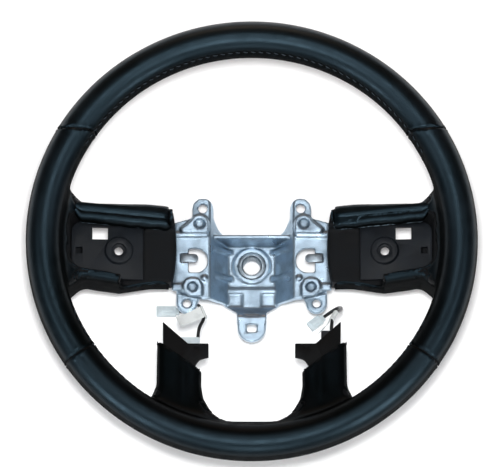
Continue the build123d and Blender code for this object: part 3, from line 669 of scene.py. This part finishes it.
@dataclass
class LeatherWrap(Assembly):
    """Four leather panels over the foam, blended where the spokes leave the rim."""

    grip: Grip
    panels: Tuple[str, ...] = ("leather_top", "leather_left", "leather_right", "leather_bottom")
    covered: Tuple[str, ...] = ("rim_foam", "armature", "lower_plate_left", "lower_plate_right")
    voxel: float = 1.7 * MM
    wall: float = 1.0 * MM
    smooth_rounds: int = 4
    root_rounds: int = 60           # more smoothing at the roots of the spokes
    root_radius: float = 160 * MM
    root_reach: float = 27 * MM
    root_fade: float = 20 * MM
    side_root_y: float = 80 * MM    # half the height of a side spoke's root
    lower_root_x: float = 112 * MM  # half the width over both lower spokes' roots
    lower_root_y: float = -118 * MM
    edge_rounds: int = 14
    tuck: float = 1.0 * MM
    ridge: float = 0.35 * MM
    hem_radius: float = 1.1 * MM
    hem_reach: float = 157 * MM     # inside this radius the cut edges are hemmed
    hem_least: int = 15             # a shorter run of corners gets no hem
    hem_rounds: int = 25
    groove_side: float = 0.3        # the groove lies further in than this share of the grip's width
    groove_reach: float = 8 * MM
    groove_skin: float = 3 * MM     # only skin this near to the grip's section is pressed
    groove_depth: float = 0.8 * MM
    groove_width: float = 1.6 * MM
    pull_depth: float = 0.35 * MM   # what each stitch pulls in besides
    pull_width: float = 4 * MM
    crease_x: float = 59 * MM
    crease_y: float = -122 * MM
    crease_half: float = 32 * MM    # half its length
    crease_reach: float = 12 * MM
    crease_height: float = 1.1 * MM
    crease_width: float = 3.5 * MM
    crease_facing: float = 0.3      # only skin that faces forward so much is raised

    def build(self) -> None:
        """Makes the panels."""
        form = joined_copy([self.nodes[name] for name in self.panels + self.covered], "wrap_form")
        modify(form, "REMESH", mode="VOXEL", voxel_size=self.voxel)
        modify(form, "SMOOTH", factor=0.5, iterations=self.smooth_rounds)
        self.soften(form)
        owners = self.owners(form)
        for name in self.panels:
            self.panel(form, owners, name)
        bpy.data.objects.remove(form)

    def blend_share(self, place: Vector) -> float:
        """How strongly a point is smoothed: fully beside the roots of the spokes, fading out round them.

        Args:
            place: the point.

        Returns:
            The share, 0 to 1.
        """
        off = abs(math.hypot(place.x, place.y) - self.root_radius)
        near = max(0.0, 1.0 - off / self.root_reach)
        side = self.side_root_y - abs(place.y)
        lower = min(self.lower_root_y - place.y, self.lower_root_x - abs(place.x))
        along = min(1.0, max(0.0, side / self.root_fade, lower / self.root_fade))
        return near * near * (3 - 2 * near) * along

    def soften(self, form: Piece) -> None:
        """Rounds the hollows where the spokes meet the rim.

        Args:
            form: the remeshed form.
        """
        group = form.vertex_groups.new(name="roots")
        for corner in form.data.vertices:
            share = self.blend_share(corner.co)
            if share > 0:
                group.add([corner.index], share, "REPLACE")
        modify(form, "SMOOTH", factor=0.5, iterations=self.root_rounds, vertex_group=group.name)

    def owners(self, form: Piece) -> List[str]:
        """Names the CAD node that lies nearest to each face of the form.

        Args:
            form: the remeshed form.

        Returns:
            One node name per face.
        """
        corners: List[Vector] = []
        faces: List[List[int]] = []
        names: List[str] = []
        for name, node in self.nodes.items():
            first = len(corners)
            corners.extend(corner.co for corner in node.data.vertices)
            for face in node.data.polygons:
                faces.append([first + index for index in face.vertices])
                names.append(name)
        tree = BVHTree.FromPolygons(corners, faces)
        return [names[tree.find_nearest(face.center)[2]] for face in form.data.polygons]

    def panel(self, form: Piece, owners: Sequence[str], name: str) -> None:
        """Cuts one panel out of the form, turns its edges in and gives it its thickness.

        Args:
            form: the remeshed form.
            owners: the node behind each face.
            name: the CAD panel that this one stands for.
        """
        piece = new_object(name + "_wrap", form.data.copy())
        mesh = bmesh.new()
        mesh.from_mesh(piece.data)
        mesh.faces.ensure_lookup_table()
        outside = [face for face in mesh.faces if owners[face.index] != name]
        bmesh.ops.delete(mesh, geom=outside, context="FACES")
        self.keep_largest(mesh)
        self.turn_edges_in(mesh)
        self.press_stitch_groove(mesh)
        self.raise_crease(mesh)
        self.hem(mesh, name)
        mesh.to_mesh(piece.data)
        mesh.free()
        modify(piece, "SOLIDIFY", thickness=self.wall, offset=-1.0)
        settle(piece, self.finish.leather, [name], angle=60)

    def keep_largest(self, mesh: Mesh) -> None:
        """Deletes every island but the largest.

        Args:
            mesh: the panel's skin.
        """
        seen: set = set()
        islands: List[List[bmesh.types.BMFace]] = []
        for start in mesh.faces:
            if start in seen:
                continue
            seen.add(start)
            island = [start]
            for face in island:
                beside = {other for edge in face.edges for other in edge.link_faces} - seen
                seen |= beside
                island.extend(beside)
            islands.append(island)
        islands.sort(key=len)
        spare = [face for island in islands[:-1] for face in island]
        bmesh.ops.delete(mesh, geom=spare, context="FACES")

    def turn_edges_in(self, mesh: Mesh) -> None:
        """Evens out the cut edges, rolls them in and lifts a soft ridge behind them.

        Args:
            mesh: the panel's skin.
        """
        for _ in range(self.edge_rounds):
            moved = {}
            for corner in mesh.verts:
                ends = [edge.other_vert(corner).co for edge in corner.link_edges if edge.is_boundary]
                if len(ends) == 2:
                    moved[corner] = corner.co * 0.5 + (ends[0] + ends[1]) * 0.25
            for corner, place in moved.items():
                corner.co = place
        mesh.normal_update()
        lifts = (-self.tuck, self.ridge, 0.5 * self.ridge)
        rows: List[set] = [{corner for corner in mesh.verts if corner.is_boundary}]
        while len(rows) < len(lifts):
            behind = {edge.other_vert(corner) for corner in rows[-1] for edge in corner.link_edges}
            rows.append(behind - set().union(*rows))
        normals = {corner: corner.normal.copy() for row in rows for corner in row}
        for row, lift in zip(rows, lifts):
            for corner in row:
                corner.co += normals[corner] * lift

    def hem(self, mesh: Mesh, name: str) -> None:
        """Rolls a hem along the panel's cut edges on the spokes.

        Args:
            mesh: the panel's skin.
            name: the CAD panel.
        """
        links: Links = {}
        for edge in mesh.edges:
            inside = all(math.hypot(end.co.x, end.co.y) < self.hem_reach for end in edge.verts)
            if edge.is_boundary and inside:
                first, second = edge.verts
                links.setdefault(first, []).append(second)
                links.setdefault(second, []).append(first)
        runs = [chain for chain in self.chains(links) if len(chain) >= self.hem_least]
        if not runs:
            return
        curve = bpy.data.curves.new(name + "_hem", "CURVE")
        curve.dimensions = "3D"
        curve.bevel_depth = self.hem_radius
        curve.bevel_resolution = 2
        curve.use_fill_caps = True
        for run in runs:
            places = [corner.co.copy() for corner in run]
            for _ in range(self.hem_rounds):
                inner = zip(places, places[1:], places[2:])
                places[1:-1] = [0.25 * before + 0.5 * here + 0.25 * after for before, here, after in inner]
            spline = curve.splines.new("POLY")
            spline.points.add(len(places) - 1)
            for point, place in zip(spline.points, places):
                point.co = (*place, 1.0)
        activate(new_object(name + "_hem", curve))
        bpy.ops.object.convert(target="MESH")
        settle(bpy.context.object, self.finish.leather, angle=70)

    def chains(self, links: Links) -> List[List[Corner]]:
        """Walks linked corners into chains, open ones from their ends.

        Args:
            links: each corner's neighbours along the edge.

        Returns:
            The chains.
        """
        used: set = set()
        made = []
        for start in sorted(links, key=lambda corner: (len(links[corner]), corner.index)):
            if start in used:
                continue
            chain = [start]
            used.add(start)
            onward = [corner for corner in links[start] if corner not in used]
            while onward:
                chain.append(onward[0])
                used.add(onward[0])
                onward = [corner for corner in links[chain[-1]] if corner not in used]
            made.append(chain)
        return made

    def press_stitch_groove(self, mesh: Mesh) -> None:
        """Presses the hand-sewn seam into the inside of the grip, deeper at each stitch.

        Args:
            mesh: the panel's skin.
        """
        half = self.grip.width / 2
        for corner in mesh.verts:
            out = math.hypot(corner.co.x, corner.co.y) - self.grip.mid_radius
            up = corner.co.z - self.grip.middle_z
            away = (math.atan2(up, -out) - Stitching.tilt) * half
            off_skin = abs(math.hypot(out, up) - half)
            outside = out > -self.groove_side * self.grip.width
            if outside or abs(away) > self.groove_reach or off_skin > self.groove_skin:
                continue
            turn = math.atan2(corner.co.y, corner.co.x)
            beat = 0.5 + 0.5 * math.cos(2 * math.pi * turn * self.grip.mid_radius / Stitching.pitch)
            groove = self.groove_depth * math.exp(-(away / self.groove_width) ** 2)
            pull = self.pull_depth * beat * math.exp(-(away / self.pull_width) ** 2)
            corner.co -= corner.normal * (groove + pull) * Stitching.sewn(math.degrees(turn))

    def raise_crease(self, mesh: Mesh) -> None:
        """Raises the soft fold that runs down the front of each lower spoke.

        Args:
            mesh: the panel's skin.
        """
        for corner in mesh.verts:
            across = abs(corner.co.x) - self.crease_x
            along = abs(corner.co.y - self.crease_y)
            off = abs(across) > self.crease_reach or along > self.crease_half
            if off or corner.normal.z < self.crease_facing:
                continue
            fade = 0.5 + 0.5 * math.cos(math.pi * along / self.crease_half)
            height = self.crease_height * fade * math.exp(-(across / self.crease_width) ** 2)
            corner.co += corner.normal * height


@dataclass
class FoamCore(Assembly):
    """The foam moulding, which shows where the leather stops."""

    voxel: float = 1.5 * MM
    smooth_rounds: int = 5
    faces_kept: float = 0.35

    def build(self) -> None:
        """Makes the foam with its soft edges."""
        core = softened(self.nodes["rim_foam"], "foam_core", self.voxel, self.smooth_rounds, self.faces_kept)
        settle(core, self.finish.foam, ["rim_foam"], angle=50)


@dataclass
class PocketFold(Assembly):
    """Loose leather rolled over the upper lip of a switch pocket, with its torn edge."""

    side: Side
    start: float = 153 * MM         # at the rim's end of the pocket
    end: float = 69 * MM            # at the hub's end
    lip: float = 33 * MM            # the lip's crest, from the wheel's middle
    spare_height: float = 80 * MM   # the crest's height where the panel leaves the lip bare
    steps: int = 90
    profile: Tuple[Tuple[float, float], ...] = (    # across and up from the crest, in millimetres
        (3.0, 0.2), (0.5, 1.3), (-2.0, 0.9), (-3.8, -0.9), (-5.2, -0.2), (-7.6, 0.3), (-10.0, -1.2),
        (-11.8, -4.2), (-12.2, -7.4), (-11.2, -10.0), (-9.0, -11.6))
    wall: float = 1.1 * MM
    ragged: float = 0.5 * MM
    torn_rows: int = 4
    torn_start: Point = (0, -0.2 * MM, 0)
    torn_step: Point = (0, 0.9 * MM, -1.1 * MM)
    torn_wall: float = 0.7 * MM
    torn_ragged: float = 1.4 * MM
    end_steps: int = 7              # the roll narrows over these steps at its ends
    end_share: float = 0.45         # to this share
    slow_wave: float = 11 * MM
    slow_stray: float = 1.2 * MM
    fine_wave: float = 2.2 * MM

    def build(self) -> None:
        """Rolls the leather and hangs the torn edge under it."""
        panel = self.nodes[f"leather_{self.side.word}"].data
        tree = BVHTree.FromPolygons([corner.co for corner in panel.vertices],
                                    [face.vertices for face in panel.polygons])
        crest = [self.crest(tree, step / self.steps) for step in range(self.steps + 1)]
        rows = [Vector((0, across * MM, up * MM)) for across, up in self.profile]
        fold = self.sheet(f"pocket_fold_{self.side.word}", crest, rows, self.ragged)
        modify(fold, "SUBSURF", levels=1)
        modify(fold, "SOLIDIFY", thickness=self.wall, offset=-1.0)
        settle(fold, self.finish.leather, angle=70)
        brink = rows[-3] + Vector(self.torn_start)
        hanging = [brink + row * Vector(self.torn_step) for row in range(self.torn_rows)]
        edge = self.sheet(f"pocket_torn_edge_{self.side.word}", crest, hanging, self.torn_ragged)
        modify(edge, "SOLIDIFY", thickness=self.torn_wall, offset=-1.0)
        settle(edge, self.finish.torn, angle=70)

    def crest(self, tree: BVHTree, share: float) -> Vector:
        """A place on the lip's crest, found on the CAD panel.

        Args:
            tree: the CAD panel.
            share: 0 at the rim's end of the pocket, 1 at the hub's.

        Returns:
            The place.
        """
        reach = self.start + share * (self.end - self.start)
        above = Vector((self.side.value * reach, self.lip, 1.0))
        hit = tree.ray_cast(above, Vector((0, 0, -1)))[0]
        return hit if hit else Vector((above.x, above.y, self.spare_height))

    def sheet(self, name: str, crest: Sequence[Vector], rows: Sequence[Vector], ragged: float) -> Piece:
        """Runs a profile along the crest, uneven as loose leather is.

        Args:
            name: the sheet's name.
            crest: places along the lip.
            rows: the profile, as offsets from the crest.
            ragged: how far places stray.

        Returns:
            The sheet.
        """
        last_step, last_row = len(crest) - 1, len(rows) - 1
        sheet = primitive(name, bpy.ops.mesh.primitive_grid_add, x_subdivisions=last_step,
                          y_subdivisions=last_row)
        for corner in sheet.data.vertices:
            step = round((corner.co.x + 1) / 2 * last_step)
            row = round((corner.co.y + 1) / 2 * last_row)
            ends = min(1.0, min(step, last_step - step) / self.end_steps)
            width = self.end_share + (1 - self.end_share) * math.sin(0.5 * math.pi * ends)
            place = crest[step] + rows[row] * width
            slow = noise.noise_vector(place / self.slow_wave) * self.slow_stray
            fine = noise.noise_vector(place / self.fine_wave) * ragged
            corner.co = place + row / last_row * (slow + fine)
        return sheet


@dataclass
class Stitching(Assembly):
    """Hand-sewn thread across the seam on the inside of the grip."""

    pitch: ClassVar[float] = 7.2 * MM
    tilt: ClassVar[float] = math.radians(24)
    stretches: ClassVar[Tuple[Tuple[float, float], ...]] = ((27.0, 153.0), (-55.0, -24.0), (-156.0, -125.0))
    fade: ClassVar[float] = 4.0     # degrees over which the seam runs out at its ends

    grip: Grip
    length: float = 4.6 * MM
    thickness: float = 0.6 * MM
    taper: float = 0.45
    bow: float = 0.5 * MM
    sink: float = 0.2 * MM          # how far the thread lies in the leather
    slant: float = 0.35
    tilt_step: float = 0.2          # used to find the way across the seam, in radians

    @classmethod
    def sewn(cls, turn: float) -> float:
        """How far the seam is closed at a place in degrees: 1 between its ends, 0 off them."""
        inside = max(min(turn - start, end - turn) for start, end in cls.stretches)
        return min(1.0, max(0.0, 1.0 + inside / cls.fade))

    def one(self) -> Piece:
        """Models one stitch: a short thread, fat in the middle and bowed.

        Returns:
            The stitch, lying along X at the origin.
        """
        stitch = primitive("stitch_pattern", bpy.ops.mesh.primitive_cylinder_add, vertices=6,
                           radius=self.thickness, depth=self.length, rotation=(0, math.pi / 2, 0))
        bpy.ops.object.transform_apply(rotation=True)
        edit(stitch, bpy.ops.mesh.subdivide, number_cuts=2)
        for corner in stitch.data.vertices:
            share = 2 * corner.co.x / self.length
            thin = 1 - self.taper * share ** 2
            corner.co.y *= thin
            corner.co.z = corner.co.z * thin - self.bow * share ** 2
        return stitch

    def build(self) -> None:
        """Sews along every stretch of the seam."""
        pattern = self.one()
        radius = self.grip.mid_radius
        copies = []
        for start, end in self.stretches:
            count = int(math.radians(end - start) * radius / self.pitch)
            first = round(math.radians(start) * radius / self.pitch)
            for step in range(first, first + count):
                copies.append(self.placed(pattern, step * self.pitch / radius))
        activate(*copies)
        bpy.ops.object.join()
        bpy.data.objects.remove(pattern)
        thread = copies[0]
        thread.name = "grip_stitching"
        settle(thread, self.finish.thread, angle=80)

    def placed(self, pattern: Piece, turn: float) -> Piece:
        """Copies the stitch to a place round the wheel, slanted over the seam.

        Args:
            pattern: the stitch at the origin.
            turn: place round the wheel, in radians.

        Returns:
            The copy.
        """
        copy = new_object("stitch", pattern.data.copy())
        place = self.grip.on_section(turn, self.tilt, -self.sink)
        before = self.grip.on_section(turn, self.tilt - self.tilt_step)
        after = self.grip.on_section(turn, self.tilt + self.tilt_step)
        across = (after - before).normalized()
        along = Vector((-math.sin(turn), math.cos(turn), 0))
        way = (along + self.slant * across).normalized()
        out = along.cross(across).normalized()
        if out.dot(self.grip.on_section(turn, self.tilt) - place) < 0:
            out = -out
        turned = Matrix((way, out.cross(way).normalized(), out)).transposed().to_4x4()
        copy.data.transform(Matrix.Translation(place) @ turned)
        return copy


# Casting


@dataclass
class CastFrame(Assembly):
    """The bare casting, its steel bush with splines and the two latch springs."""

    voxel: float = 0.9 * MM
    smooth_rounds: int = 4
    faces_kept: float = 0.42
    clip_edge: float = 0.25 * MM
    bore: float = 7.6 * MM
    spline: float = 0.9 * MM
    splines: int = 36
    spline_points: int = 4          # corners round the bush to each spline, half of them in its groove
    face_share: float = 0.92        # the raised face's share of the bush's radius
    face_rise: float = 0.4 * MM
    lead_in: float = 1.6 * MM
    lead_depth: float = 1.0 * MM
    foot_lead: float = 1.2 * MM
    on_bore: float = 0.1 * MM       # corners this near to the bore belong to it

    def build(self) -> None:
        """Makes the casting with softened edges, the bush and the springs."""
        frame = softened(self.nodes["armature"], "casting", self.voxel, self.smooth_rounds, self.faces_kept)
        settle(frame, self.finish.casting, ["armature"], angle=50)
        self.bush()
        for side in Side:
            moulding(self.nodes[f"latch_clip_{side.word}"], self.finish.steel, self.clip_edge)

    def bush(self) -> None:
        """Turns the steel bush and cuts its splines."""
        low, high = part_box("hub_insert")
        reach, height = high.x, high.z
        count = self.spline_points * self.splines
        bush = primitive("hub_bush", bpy.ops.mesh.primitive_circle_add, vertices=count, radius=reach,
                         location=(0, 0, height))
        bpy.ops.object.transform_apply(location=True)
        face = high.z + self.face_rise
        rings = ((self.face_share * high.x, face), (self.bore + self.lead_in, face),
                 (self.bore, high.z - self.lead_depth), (self.bore, low.z + self.lead_depth),
                 (self.bore + self.foot_lead, low.z), (high.x, low.z))
        bpy.ops.object.mode_set(mode="EDIT")
        bpy.ops.mesh.select_all(action="SELECT")
        for next_reach, next_height in rings:
            bpy.ops.mesh.extrude_edges_move()
            share = next_reach / reach
            bpy.ops.transform.resize(value=(share, share, 1))
            bpy.ops.transform.translate(value=(0, 0, next_height - height))
            reach, height = next_reach, next_height
        bpy.ops.object.mode_set(mode="OBJECT")
        edit(bush, bpy.ops.mesh.normals_make_consistent, inside=False)
        for corner in bush.data.vertices:
            if math.hypot(corner.co.x, corner.co.y) > self.bore + self.on_bore:
                continue
            step = round(math.atan2(corner.co.y, corner.co.x) / (2 * math.pi) * count)
            if step % self.spline_points >= self.spline_points // 2:
                corner.co.xy = corner.co.xy * (1 + self.spline / self.bore)
        settle(bush, self.finish.steel, ["hub_insert"], angle=30)


# Heater leads


@dataclass
class HeaterLead(Assembly):
    """One heater lead with its socket, its tape flag and its plug."""

    side: Side
    route: Tuple[Point, ...]
    length: float
    flag_run: int                   # the flag is folded round this run of the route
    flag_way: Tuple[float, float]
    flag_size: Tuple[float, float] = (23 * MM, 12 * MM)
    flag_grid: Tuple[int, int] = (30, 8)
    diameter: float = 3 * MM
    tape_wall: float = 0.4 * MM
    tape_gap: float = 0.5 * MM      # between the lead and the middle of the tape
    curl: float = 2.2 * MM
    curl_turn: float = 2.6          # how far the loose end's wave runs, in radians
    twist: float = 0.9 * MM
    plug_edge: float = 0.35 * MM
    socket_edge: float = 0.4 * MM

    def build(self) -> None:
        """Makes the lead and dresses the pieces on it."""
        word = self.side.word
        curve = bpy.data.curves.new(f"lead_{word}", "CURVE")
        curve.dimensions = "3D"
        spline = curve.splines.new("NURBS")
        spline.points.add(len(self.route) - 1)
        for point, place in zip(spline.points, self.route):
            point.co = (*(value * MM for value in place), 1.0)
        spline.order_u = 3
        spline.use_endpoint_u = True
        curve.bevel_depth = self.diameter / 2
        curve.bevel_resolution = 4
        curve.resolution_u = 10
        curve.use_fill_caps = True
        lead = new_object(f"heater_wire_{word}", curve)
        curve.materials.append(self.finish.wire)
        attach(lead, BODY)
        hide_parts(f"heater_lead_{word}")
        nylon = self.finish.nylon
        plug = moulding(self.nodes[f"lead_connector_{word}"], nylon, self.plug_edge)
        socket = self.nodes[f"lead_socket_{word}"]
        if self.side is Side.LEFT:
            moulding(socket, nylon, self.socket_edge)
        else:
            moulding(socket, self.finish.socket, self.socket_edge)
        flag = self.flag()

    def flag(self) -> Piece:
        """Folds the white tape round the lead and lets its loose end curl.

        Returns:
            The tape flag.
        """
        first, second = (Vector(self.route[self.flag_run + step]) * MM for step in (0, 1))
        along = (second - first).normalized()
        climb = -(self.flag_way[0] * along.x + self.flag_way[1] * along.y) / along.z
        off = Vector((*self.flag_way, climb)).normalized()
        out = off.cross(along)
        middle = (first + second) / 2
        length, width = self.flag_size
        tape = primitive(f"tape_label_{self.side.word}", bpy.ops.mesh.primitive_grid_add,
                         x_subdivisions=self.flag_grid[0], y_subdivisions=self.flag_grid[1])
        sleeve = self.diameter / 2 + self.tape_gap
        wrap = 2 * math.pi * sleeve
        for corner in tape.data.vertices:
            run = (corner.co.x + 1) / 2 * (length + wrap)
            across = corner.co.y * width / 2
            if run < wrap:
                turn = run / sleeve
                reach, lift = -sleeve * math.sin(turn), -sleeve * math.cos(turn)
            else:
                reach = run - wrap
                share = reach / length
                wave = self.curl * math.sin(self.curl_turn * share)
                lift = wave + self.twist * share * corner.co.y - sleeve
            corner.co = middle + off * reach + along * across + out * lift
        modify(tape, "SOLIDIFY", thickness=self.tape_wall, offset=0.0)
        return settle(tape, self.finish.tape, [f"tape_flag_{self.side.word}"], angle=60)


# Studio


@dataclass(frozen=True)
class SoftBox:
    """A square soft box; one that isn't mirrored gives light and shadow without a highlight."""

    name: str
    place: Point
    size: float
    power: float
    mirrored: bool = True
    colour: str = "#ffffff"


@dataclass
class Studio:
    """Floor, soft light and the camera."""

    width_px: int = 498
    height_px: int = 467
    elevation: float = 75.5
    distance: float = 4.0
    span: float = 0.4296            # metres across the picture at the rim
    centre: Vector = field(default_factory=lambda: Vector((0, 0, 113 * MM)))
    centre_px: Tuple[float, float] = (251.8, 239.0)
    sensor: float = 36.0
    floor_size: float = 6.0
    floor_drop: float = 0.2 * MM
    floor_paint: str = "#f4f4f4"
    floor_glow: float = 0.08        # how much of the floor's white doesn't hang on the lamps
    room_light: float = 0.2
    room_near: str = "#7f95a8"
    room_beyond: str = "#8a5f44"
    lamps: Tuple[SoftBox, ...] = (
        SoftBox("key", (0.0, -0.57, 3.0), 0.22, 70.0, mirrored=False),
        SoftBox("overhead", (0.0, 0.42, 1.6), 0.42, 1.9),
        SoftBox("middle", (0.0, -0.3, 1.45), 0.5, 4.5),
        SoftBox("left", (-0.95, -0.1, 1.35), 0.5, 1.5),
        SoftBox("right", (0.95, -0.1, 1.35), 0.5, 1.5),
        SoftBox("front_left", (-0.95, -0.95, 0.85), 0.5, 5.0),
        SoftBox("front_right", (0.95, -0.95, 0.85), 0.5, 5.0),
        SoftBox("front", (0.0, -1.3, 0.85), 0.5, 2.5),
        SoftBox("warm", (0.0, 1.4, 0.55), 0.6, 1.4, colour="#ffc9a6"),
    )

    def build(self) -> None:
        """Sets up the floor, the lights, the world and the camera."""
        self.floor()
        self.lights()
        self.room()
        self.camera()
        bpy.context.scene.view_settings.view_transform = "Standard"

    def camera(self) -> None:
        """Places the camera so that the rim's centre falls on its pixel."""
        tilt = math.radians(self.elevation)
        away = Vector((0, -math.cos(tilt), math.sin(tilt)))
        up = Vector((0, math.sin(tilt), math.cos(tilt)))
        right = Vector((1, 0, 0))
        pixel = self.span / self.width_px
        left_by = (self.centre_px[0] - self.width_px / 2) * pixel
        above_by = (self.centre_px[1] - self.height_px / 2) * pixel
        target = self.centre - right * left_by + up * above_by
        data = bpy.data.cameras.new("camera")
        data.sensor_fit = "HORIZONTAL"
        data.sensor_width = self.sensor
        data.lens = self.sensor * self.distance / self.span
        data.clip_start = 0.05
        camera = new_object("camera", data)
        camera.location = target + away * self.distance
        camera.rotation_euler = Matrix((right, up, away)).transposed().to_euler()
        bpy.context.scene.camera = camera

    def floor(self) -> None:
        """Lays a pale floor under the wheel."""
        floor = primitive("floor", bpy.ops.mesh.primitive_plane_add, size=self.floor_size,
                          location=(0, 0, -self.floor_drop))
        paint = bpy.data.materials.new("Paper_backdrop_white")
        paint.use_nodes = True
        brush = Brush(paint.node_tree)
        brush.even(Base_Color=linear(self.floor_paint), Roughness=0.9, Specular_IOR_Level=0.0,
                   Emission_Color=linear("#ffffff"))
        path = brush.node("LightPath").outputs
        seen = brush.combine("MAXIMUM", path["Is Camera Ray"], path["Is Glossy Ray"])
        clear = brush.combine("MAXIMUM", seen, path["Is Transmission Ray"])
        brush.lead(Emission_Strength=brush.combine("MULTIPLY", clear, self.floor_glow))
        floor.data.materials.append(paint)

    def lights(self) -> None:
        """Hangs the soft boxes round the wheel."""
        for lamp in self.lamps:
            data = bpy.data.lights.new(lamp.name, "AREA")
            data.shape = "SQUARE"
            data.size = lamp.size
            data.energy = lamp.power
            data.color = linear(lamp.colour)[:3]
            box = new_object(lamp.name, data)
            box.location = lamp.place
            box.rotation_euler = (Vector(lamp.place) - self.centre).to_track_quat("Z", "Y").to_euler()
            box.visible_glossy = lamp.mirrored

    def room(self) -> None:
        """Dims the room round the wheel, warm beyond twelve o'clock."""
        world = bpy.data.worlds.new("room")
        bpy.context.scene.world = world
        world.use_nodes = True
        brush = Brush(world.node_tree, "Background", "Generated")
        beyond = brush.spread(brush.axes(brush.place)["Y"], 0.1, 0.7)
        brush.lead(Color=brush.tint(beyond, self.room_near, self.room_beyond))
        brush.even(Strength=self.room_light)


LEFT_ROUTE = (
    (-46.5, -80, 79.8), (-46.5, -71.5, 79.8), (-40.5, -61.5, 77.8), (-44.5, -51.5, 73.5), (-47, -45.5, 60.5),
    (-44.6, -45, 45.5), (-44.5, -45.5, 30), (-47.5, -44, 17), (-50.5, -40.5, 8), (-56.5, -38, 3.6),
    (-64, -38, 3.6))
RIGHT_ROUTE = (
    (69, -74, 78.8), (69, -63.5, 78.8), (73, -55.5, 72.5), (76.5, -50.5, 58), (78.2, -46, 42),
    (78.5, -41.5, 28), (78.8, -38, 17.5), (76.5, -35.8, 9), (70.3, -38.1, 3.6), (63.5, -43.2, 3.6))


def corners(bounds: Iterable[Vector]) -> List[List[float]]:
    """A box's two corners as plain lists."""
    return [[float(value) for value in corner] for corner in bounds]


def main() -> None:
    """Builds and dresses every piece in order."""
    logging.basicConfig(level=logging.INFO, format="%(name)s: %(message)s")
    noise.seed_set(NOISE_SEED)
    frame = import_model()
    nodes = frame["nodes"]
    finish = Workshop()
    Studio().build()
    HeaterLead(nodes, finish, Side.LEFT, LEFT_ROUTE,
               length=0.1125, flag_run=2, flag_way=(-0.93, -0.36)).build()
    HeaterLead(nodes, finish, Side.RIGHT, RIGHT_ROUTE,
               length=0.1028, flag_run=1, flag_way=(-1, -0.89)).build()
    grip = Grip()
    LeatherWrap(nodes, finish, grip).build()
    Stitching(nodes, finish, grip).build()
    CastFrame(nodes, finish).build()
    FoamCore(nodes, finish).build()
    for side in Side:
        PocketFold(nodes, finish, side).build()
        moulding(nodes[f"switch_carrier_{side.word}"], finish.carrier, PLATE_EDGE)
        moulding(nodes[f"lower_plate_{side.word}"], finish.plate, PLATE_EDGE)


if __name__ == "__main__":
    main()
